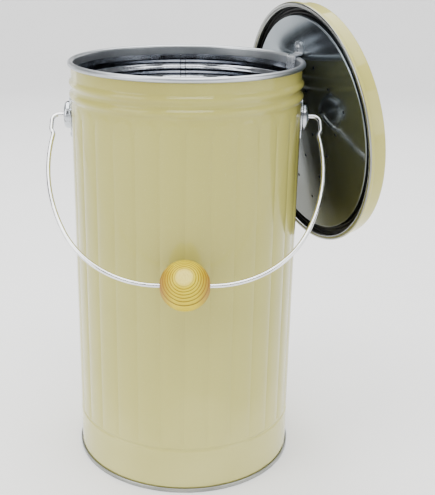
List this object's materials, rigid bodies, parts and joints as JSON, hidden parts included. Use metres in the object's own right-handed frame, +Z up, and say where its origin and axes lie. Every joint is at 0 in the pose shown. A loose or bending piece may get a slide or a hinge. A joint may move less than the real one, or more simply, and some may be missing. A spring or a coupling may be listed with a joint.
{
  "type": "lidded pail with bail handle",
  "caption": "Tall fluted steel pail with rolled rim, wire bail with wooden ball grip, and a ventilated lid hung on the rim by a strap hook.",
  "frame": {"origin": "on the pail's axis at the level of the base seam's underside, which it stands on", "axes": "+Z up along the pail's axis; the bail pivots about X; -Y is the front, where the bail hangs down"},
  "size_m": [0.2977, 0.2837, 0.436],
  "materials": {
    "cream_paint": "gloss",
    "bare_steel": "satin",
    "galvanised": "satin",
    "wire": "polished",
    "pale_wood": "satin lacquer",
    "black_seal": "semi-gloss",
    "filter_felt": "matt"
  },
  "bodies": {
    "pail": {"body_shell": "cream_paint", "rim_ring": "bare_steel", "rim_wire": "wire", "base_pan": "galvanised", "ear_left": "bare_steel", "ear_right": "bare_steel", "ear_rivets_left": "bare_steel", "ear_rivets_right": "bare_steel"},
    "bail": {"bail_wire": "wire"},
    "grip": {"grip_ball": "pale_wood"},
    "lid": {"lid_cover": "cream_paint", "lid_rim_ring": "bare_steel", "lid_rim_wire": "wire", "lid_inner_tray": "galvanised", "lid_seal": "black_seal", "charcoal_filter": "filter_felt", "hang_hook": "bare_steel", "hook_rivet": "bare_steel", "lid_knob": "pale_wood", "knob_screw": "wire", "knob_washer": "bare_steel"}
  },
  "joints": [
    {"name": "bail_swing", "type": "hinge", "parent": "pail", "child": "bail", "pos_m": [0, 0, 0.3356], "axis": [-1, 0, 0], "range_deg": [0, 80]},
    {"name": "grip_spin", "type": "hinge", "parent": "bail", "child": "grip", "pos_m": [0, -0.1268, 0.21786], "axis": [1, 0, 0], "continuous": true},
    {"name": "lid_lift", "type": "slide", "parent": "pail", "child": "lid", "axis": [0, 0, 1], "range_m": [0, 0.19]}
  ]
}
